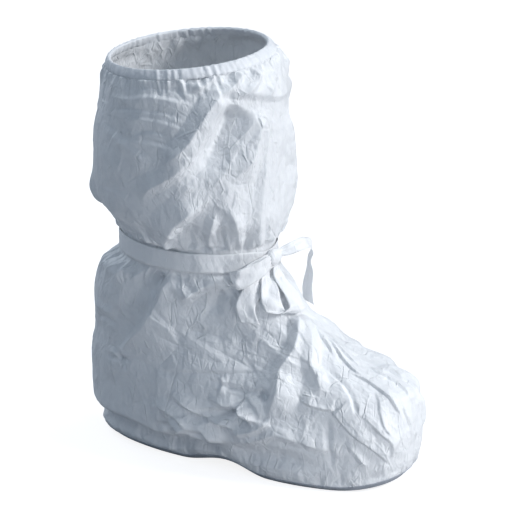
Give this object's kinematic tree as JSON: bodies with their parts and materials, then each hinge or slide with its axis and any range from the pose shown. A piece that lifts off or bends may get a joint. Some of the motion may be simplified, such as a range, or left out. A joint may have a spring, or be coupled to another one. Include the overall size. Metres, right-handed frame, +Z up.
{
  "type": "boot cover",
  "caption": "Knee-high disposable overboot of white nonwoven fabric with an elastic collar, a ribbon tie with a bow at the ankle and a slip-resistant sole.",
  "frame": {"origin": "on the floor, under the middle of the cover's box", "axes": "+X towards the toe, +Y towards the wearer's left, +Z up"},
  "size_m": [0.37, 0.196, 0.4327],
  "materials": {
    "upper_fabric": "satin-matte white spun-bonded nonwoven, crumpled",
    "sole_fabric": "grey slip-resistant coated fabric",
    "hem_fabric": "white nonwoven gathered over elastic",
    "tie_ribbon": "flat white nonwoven ribbon"
  },
  "bodies": {
    "root": {"upper": "upper_fabric", "sole": "sole_fabric", "collar_hem": "hem_fabric", "tie_band": "tie_ribbon", "tie_knot": "tie_ribbon", "bow_loop_side": "tie_ribbon", "bow_loop_front": "tie_ribbon", "bow_end_side": "tie_ribbon", "bow_end_inner": "tie_ribbon"}
  },
  "joints": []
}
